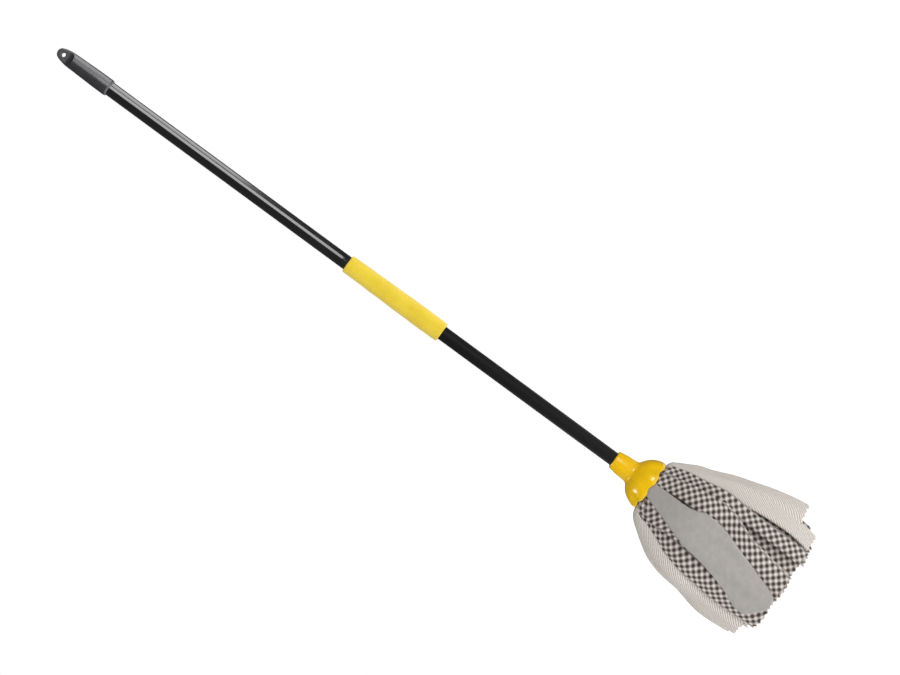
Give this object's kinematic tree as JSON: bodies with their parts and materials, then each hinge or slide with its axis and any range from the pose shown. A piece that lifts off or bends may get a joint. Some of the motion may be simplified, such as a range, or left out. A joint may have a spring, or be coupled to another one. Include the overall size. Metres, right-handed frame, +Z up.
{
  "type": "strip mop",
  "caption": "Cloth-strip mop: two-section steel pole with hanging grip and foam sleeve, bell socket, and a clip-in refill of hanging fabric strips.",
  "frame": {"origin": "middle of the hanging hole in the grip, where the mop hangs from a hook", "axes": "+Z up the pole, with the mop hanging plumb; the hanging hole's axis is Y; the grey strip in front faces -Y"},
  "size_m": [0.209, 0.2096, 1.349],
  "materials": {
    "grip_plastic": "satin moulded",
    "upper_lacquer": "gloss black lacquer",
    "lower_lacquer": "satin black coat",
    "foam": "matt closed-cell foam",
    "joint_plastic": "moulded",
    "socket_plastic": "gloss moulded",
    "clip_plastic": "moulded",
    "dotted_cloth": "woven spots on off-white, ribbed back",
    "grey_cloth": "plain felt"
  },
  "bodies": {
    "upper_pole": {"hanging_grip": "grip_plastic", "upper_tube": "upper_lacquer", "joint_nut": "joint_plastic"},
    "lower_pole": {"lower_tube": "lower_lacquer", "foam_sleeve": "foam", "joint_stud": "joint_plastic", "threaded_tip": "joint_plastic"},
    "socket": {"bell_socket": "socket_plastic"},
    "refill": {"refill_clip": "clip_plastic", "gathered_cloth": "dotted_cloth"},
    "grey_strip_front": {"grey_strip_front": "grey_cloth"},
    "outer_strip_02": {"outer_strip_02": "dotted_cloth"},
    "outer_strip_03": {"outer_strip_03": "dotted_cloth"},
    "outer_strip_04": {"outer_strip_04": "dotted_cloth"},
    "outer_strip_05": {"outer_strip_05": "dotted_cloth"},
    "outer_strip_06": {"outer_strip_06": "dotted_cloth"},
    "outer_strip_07": {"outer_strip_07": "dotted_cloth"},
    "outer_strip_08": {"outer_strip_08": "dotted_cloth"},
    "grey_strip_back": {"grey_strip_back": "grey_cloth"},
    "outer_strip_10": {"outer_strip_10": "dotted_cloth"},
    "outer_strip_11": {"outer_strip_11": "dotted_cloth"},
    "outer_strip_12": {"outer_strip_12": "dotted_cloth"},
    "outer_strip_13": {"outer_strip_13": "dotted_cloth"},
    "outer_strip_14": {"outer_strip_14": "dotted_cloth"},
    "outer_strip_15": {"outer_strip_15": "dotted_cloth"},
    "outer_strip_16": {"outer_strip_16": "dotted_cloth"},
    "middle_strip_01": {"middle_strip_01": "dotted_cloth"},
    "middle_strip_02": {"middle_strip_02": "dotted_cloth"},
    "middle_strip_03": {"middle_strip_03": "dotted_cloth"},
    "middle_strip_04": {"middle_strip_04": "dotted_cloth"},
    "middle_strip_05": {"middle_strip_05": "dotted_cloth"},
    "middle_strip_06": {"middle_strip_06": "dotted_cloth"},
    "middle_strip_07": {"middle_strip_07": "dotted_cloth"},
    "middle_strip_08": {"middle_strip_08": "dotted_cloth"},
    "core_strip_01": {"core_strip_01": "dotted_cloth"},
    "core_strip_02": {"core_strip_02": "dotted_cloth"},
    "core_strip_03": {"core_strip_03": "dotted_cloth"},
    "core_strip_04": {"core_strip_04": "dotted_cloth"}
  },
  "joints": [
    {"name": "pole_joint_unscrew", "type": "hinge", "parent": "upper_pole", "child": "lower_pole", "pos_m": [0, 0, -0.528], "axis": [0, 0, -1], "range_deg": [0, 2160]},
    {"name": "head_unscrew", "type": "hinge", "parent": "lower_pole", "child": "socket", "pos_m": [0, 0, -1.03], "axis": [0, 0, -1], "range_deg": [0, 2160]},
    {"name": "refill_pull_off", "type": "slide", "parent": "socket", "child": "refill", "axis": [0, 0, -1], "range_m": [0, 0.06]},
    {"name": "grey_strip_front_swing", "type": "hinge", "parent": "refill", "child": "grey_strip_front", "pos_m": [-0.00503, -0.03957, -1.096], "axis": [-0.9135, 0.4067, 0], "range_deg": [0, 45]},
    {"name": "outer_strip_02_swing", "type": "hinge", "parent": "refill", "child": "outer_strip_02", "pos_m": [0.0105, -0.03849, -1.096], "axis": [-0.9997, 0.0262, 0], "range_deg": [0, 45]},
    {"name": "outer_strip_03_swing", "type": "hinge", "parent": "refill", "child": "outer_strip_03", "pos_m": [0.02443, -0.03154, -1.096], "axis": [-0.9336, -0.3584, 0], "range_deg": [0, 45]},
    {"name": "outer_strip_04_swing", "type": "hinge", "parent": "refill", "child": "outer_strip_04", "pos_m": [0.03464, -0.01979, -1.096], "axis": [-0.7254, -0.6884, 0], "range_deg": [0, 45]},
    {"name": "outer_strip_05_swing", "type": "hinge", "parent": "refill", "child": "outer_strip_05", "pos_m": [0.03957, -0.00503, -1.096], "axis": [-0.4067, -0.9135, 0], "range_deg": [0, 45]},
    {"name": "outer_strip_06_swing", "type": "hinge", "parent": "refill", "child": "outer_strip_06", "pos_m": [0.03849, 0.0105, -1.096], "axis": [-0.0262, -0.9997, 0], "range_deg": [0, 45]},
    {"name": "outer_strip_07_swing", "type": "hinge", "parent": "refill", "child": "outer_strip_07", "pos_m": [0.03154, 0.02443, -1.096], "axis": [0.3584, -0.9336, 0], "range_deg": [0, 45]},
    {"name": "outer_strip_08_swing", "type": "hinge", "parent": "refill", "child": "outer_strip_08", "pos_m": [0.01979, 0.03464, -1.096], "axis": [0.6884, -0.7254, 0], "range_deg": [0, 45]},
    {"name": "grey_strip_back_swing", "type": "hinge", "parent": "refill", "child": "grey_strip_back", "pos_m": [0.00503, 0.03957, -1.096], "axis": [0.9135, -0.4067, 0], "range_deg": [0, 45]},
    {"name": "outer_strip_10_swing", "type": "hinge", "parent": "refill", "child": "outer_strip_10", "pos_m": [-0.0105, 0.03849, -1.096], "axis": [0.9997, -0.0262, 0], "range_deg": [0, 45]},
    {"name": "outer_strip_11_swing", "type": "hinge", "parent": "refill", "child": "outer_strip_11", "pos_m": [-0.02443, 0.03154, -1.096], "axis": [0.9336, 0.3584, 0], "range_deg": [0, 45]},
    {"name": "outer_strip_12_swing", "type": "hinge", "parent": "refill", "child": "outer_strip_12", "pos_m": [-0.03464, 0.01979, -1.096], "axis": [0.7254, 0.6884, 0], "range_deg": [0, 45]},
    {"name": "outer_strip_13_swing", "type": "hinge", "parent": "refill", "child": "outer_strip_13", "pos_m": [-0.03957, 0.00503, -1.096], "axis": [0.4067, 0.9135, 0], "range_deg": [0, 45]},
    {"name": "outer_strip_14_swing", "type": "hinge", "parent": "refill", "child": "outer_strip_14", "pos_m": [-0.03849, -0.0105, -1.096], "axis": [0.0262, 0.9997, 0], "range_deg": [0, 45]},
    {"name": "outer_strip_15_swing", "type": "hinge", "parent": "refill", "child": "outer_strip_15", "pos_m": [-0.03154, -0.02443, -1.096], "axis": [-0.3584, 0.9336, 0], "range_deg": [0, 45]},
    {"name": "outer_strip_16_swing", "type": "hinge", "parent": "refill", "child": "outer_strip_16", "pos_m": [-0.01979, -0.03464, -1.096], "axis": [-0.6884, 0.7254, 0], "range_deg": [0, 45]},
    {"name": "middle_strip_01_swing", "type": "hinge", "parent": "refill", "child": "middle_strip_01", "pos_m": [0.01126, -0.03271, -1.0985], "axis": [-0.9455, -0.3256, 0], "range_deg": [0, 36]},
    {"name": "middle_strip_02_swing", "type": "hinge", "parent": "refill", "child": "middle_strip_02", "pos_m": [0.0311, -0.01517, -1.0985], "axis": [-0.4384, -0.8988, 0], "range_deg": [0, 36]},
    {"name": "middle_strip_03_swing", "type": "hinge", "parent": "refill", "child": "middle_strip_03", "pos_m": [0.03271, 0.01126, -1.0985], "axis": [0.3256, -0.9455, 0], "range_deg": [0, 36]},
    {"name": "middle_strip_04_swing", "type": "hinge", "parent": "refill", "child": "middle_strip_04", "pos_m": [0.01517, 0.0311, -1.0985], "axis": [0.8988, -0.4384, 0], "range_deg": [0, 36]},
    {"name": "middle_strip_05_swing", "type": "hinge", "parent": "refill", "child": "middle_strip_05", "pos_m": [-0.01126, 0.03271, -1.0985], "axis": [0.9455, 0.3256, 0], "range_deg": [0, 36]},
    {"name": "middle_strip_06_swing", "type": "hinge", "parent": "refill", "child": "middle_strip_06", "pos_m": [-0.0311, 0.01517, -1.0985], "axis": [0.4384, 0.8988, 0], "range_deg": [0, 36]},
    {"name": "middle_strip_07_swing", "type": "hinge", "parent": "refill", "child": "middle_strip_07", "pos_m": [-0.03271, -0.01126, -1.0985], "axis": [-0.3256, 0.9455, 0], "range_deg": [0, 36]},
    {"name": "middle_strip_08_swing", "type": "hinge", "parent": "refill", "child": "middle_strip_08", "pos_m": [-0.01517, -0.0311, -1.0985], "axis": [-0.8988, 0.4384, 0], "range_deg": [0, 36]},
    {"name": "core_strip_01_swing", "type": "hinge", "parent": "refill", "child": "core_strip_01", "pos_m": [0, -0.031, -1.101], "axis": [-1, 0, 0], "range_deg": [0, 18]},
    {"name": "core_strip_02_swing", "type": "hinge", "parent": "refill", "child": "core_strip_02", "pos_m": [0.031, 0, -1.101], "axis": [0, -1, 0], "range_deg": [0, 18]},
    {"name": "core_strip_03_swing", "type": "hinge", "parent": "refill", "child": "core_strip_03", "pos_m": [0, 0.031, -1.101], "axis": [1, 0, 0], "range_deg": [0, 18]},
    {"name": "core_strip_04_swing", "type": "hinge", "parent": "refill", "child": "core_strip_04", "pos_m": [-0.031, 0, -1.101], "axis": [0, 1, 0], "range_deg": [0, 18]}
  ],
  "couplings": [
    {"joint": "outer_strip_02_swing", "follows": "grey_strip_front_swing", "ratio": 1},
    {"joint": "outer_strip_03_swing", "follows": "grey_strip_front_swing", "ratio": 1},
    {"joint": "outer_strip_04_swing", "follows": "grey_strip_front_swing", "ratio": 1},
    {"joint": "outer_strip_05_swing", "follows": "grey_strip_front_swing", "ratio": 1},
    {"joint": "outer_strip_06_swing", "follows": "grey_strip_front_swing", "ratio": 1},
    {"joint": "outer_strip_07_swing", "follows": "grey_strip_front_swing", "ratio": 1},
    {"joint": "outer_strip_08_swing", "follows": "grey_strip_front_swing", "ratio": 1},
    {"joint": "grey_strip_back_swing", "follows": "grey_strip_front_swing", "ratio": 1},
    {"joint": "outer_strip_10_swing", "follows": "grey_strip_front_swing", "ratio": 1},
    {"joint": "outer_strip_11_swing", "follows": "grey_strip_front_swing", "ratio": 1},
    {"joint": "outer_strip_12_swing", "follows": "grey_strip_front_swing", "ratio": 1},
    {"joint": "outer_strip_13_swing", "follows": "grey_strip_front_swing", "ratio": 1},
    {"joint": "outer_strip_14_swing", "follows": "grey_strip_front_swing", "ratio": 1},
    {"joint": "outer_strip_15_swing", "follows": "grey_strip_front_swing", "ratio": 1},
    {"joint": "outer_strip_16_swing", "follows": "grey_strip_front_swing", "ratio": 1},
    {"joint": "middle_strip_01_swing", "follows": "grey_strip_front_swing", "ratio": 0.8},
    {"joint": "middle_strip_02_swing", "follows": "grey_strip_front_swing", "ratio": 0.8},
    {"joint": "middle_strip_03_swing", "follows": "grey_strip_front_swing", "ratio": 0.8},
    {"joint": "middle_strip_04_swing", "follows": "grey_strip_front_swing", "ratio": 0.8},
    {"joint": "middle_strip_05_swing", "follows": "grey_strip_front_swing", "ratio": 0.8},
    {"joint": "middle_strip_06_swing", "follows": "grey_strip_front_swing", "ratio": 0.8},
    {"joint": "middle_strip_07_swing", "follows": "grey_strip_front_swing", "ratio": 0.8},
    {"joint": "middle_strip_08_swing", "follows": "grey_strip_front_swing", "ratio": 0.8},
    {"joint": "core_strip_01_swing", "follows": "grey_strip_front_swing", "ratio": 0.4},
    {"joint": "core_strip_02_swing", "follows": "grey_strip_front_swing", "ratio": 0.4},
    {"joint": "core_strip_03_swing", "follows": "grey_strip_front_swing", "ratio": 0.4},
    {"joint": "core_strip_04_swing", "follows": "grey_strip_front_swing", "ratio": 0.4}
  ]
}
